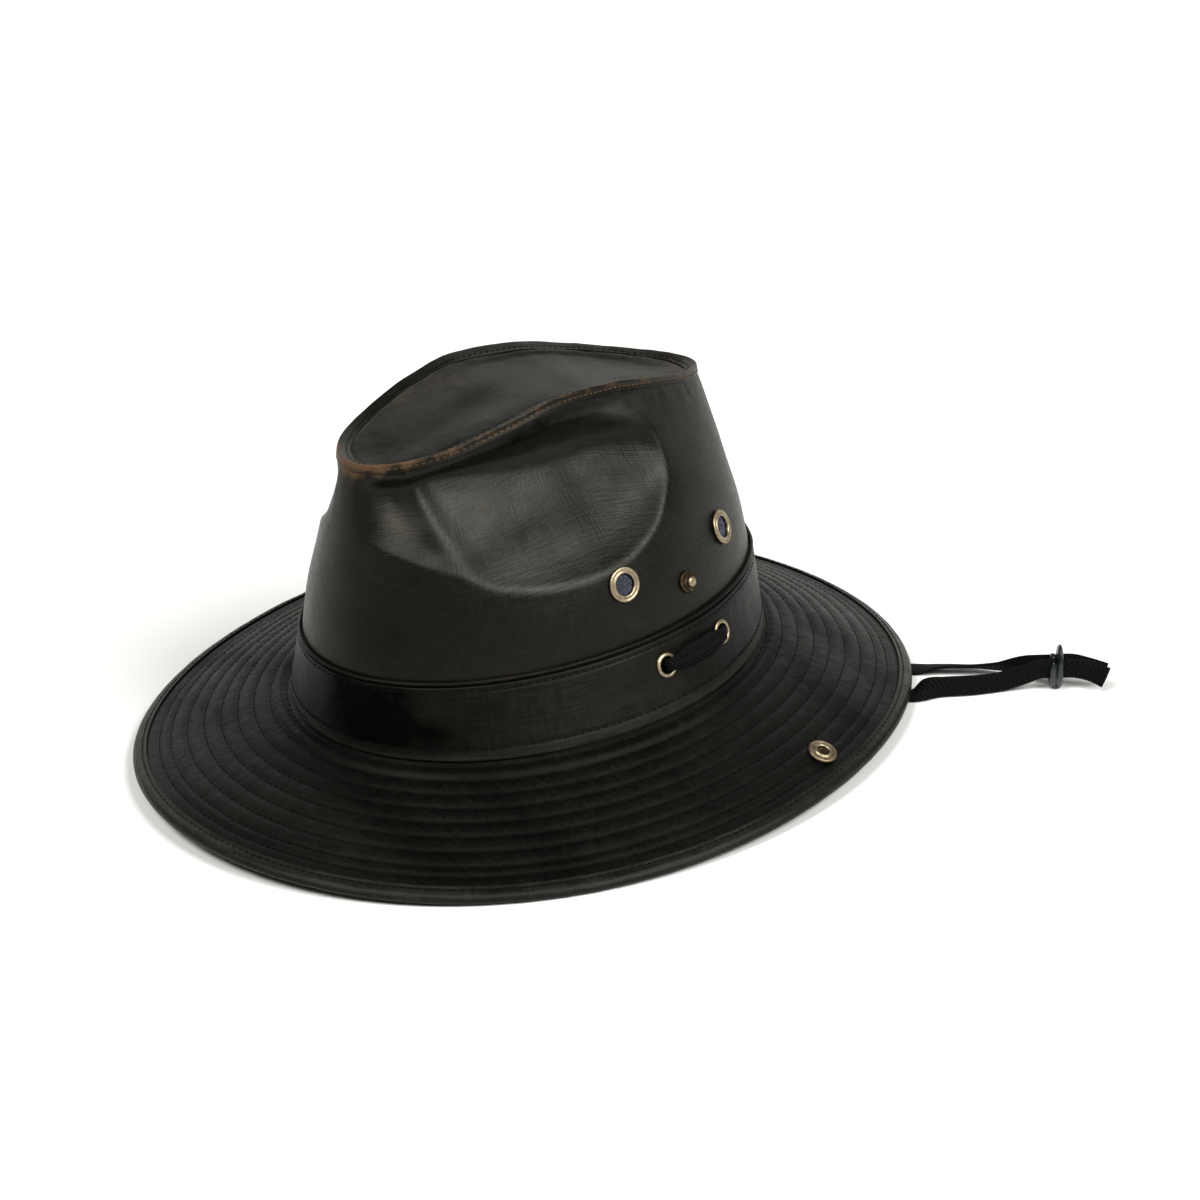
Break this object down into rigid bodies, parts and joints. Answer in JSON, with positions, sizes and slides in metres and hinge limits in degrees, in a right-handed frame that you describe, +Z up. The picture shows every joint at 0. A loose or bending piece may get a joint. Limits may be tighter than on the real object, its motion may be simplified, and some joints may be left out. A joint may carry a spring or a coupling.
{
  "type": "bush hat",
  "caption": "Wide-brimmed bush hat with a dented crown, hat band, vent eyelets, brim snaps and a flat chin lace with a slide.",
  "frame": {"origin": "on the resting surface, below the middle of the hat's rim", "axes": "-Y to the front of the hat, +X to the wearer's left, +Z up through the crown"},
  "size_m": [0.2857, 0.3525, 0.1502],
  "materials": {
    "waxed_cloth": "dark olive-grey waxed cotton, worn semi-matt",
    "brim_cloth": "darker waxed cotton, stitched",
    "brass": "antique, lightly worn",
    "screen": "fine grey mesh",
    "lace": "black braided lace",
    "slide": "dark blue-green, smooth"
  },
  "bodies": {
    "root": {"crown_side": "waxed_cloth", "crown_top": "waxed_cloth", "top_seam": "waxed_cloth", "brim_binding": "waxed_cloth", "hat_band": "brim_cloth", "band_piping": "brim_cloth", "brim": "brim_cloth", "vent_left_front": "brass", "vent_left_back": "brass", "vent_right_front": "brass", "vent_right_back": "brass", "stud_left": "brass", "stud_right": "brass", "snap_left": "brass", "snap_right": "brass", "eyelet_left_front": "brass", "eyelet_left_back": "brass", "eyelet_right_front": "brass", "eyelet_right_back": "brass", "screen_left_front": "screen", "screen_left_back": "screen", "screen_right_front": "screen", "screen_right_back": "screen", "lace_round": "lace", "lace_left": "lace", "lace_right": "lace", "cord_slide": "slide"}
  },
  "joints": []
}
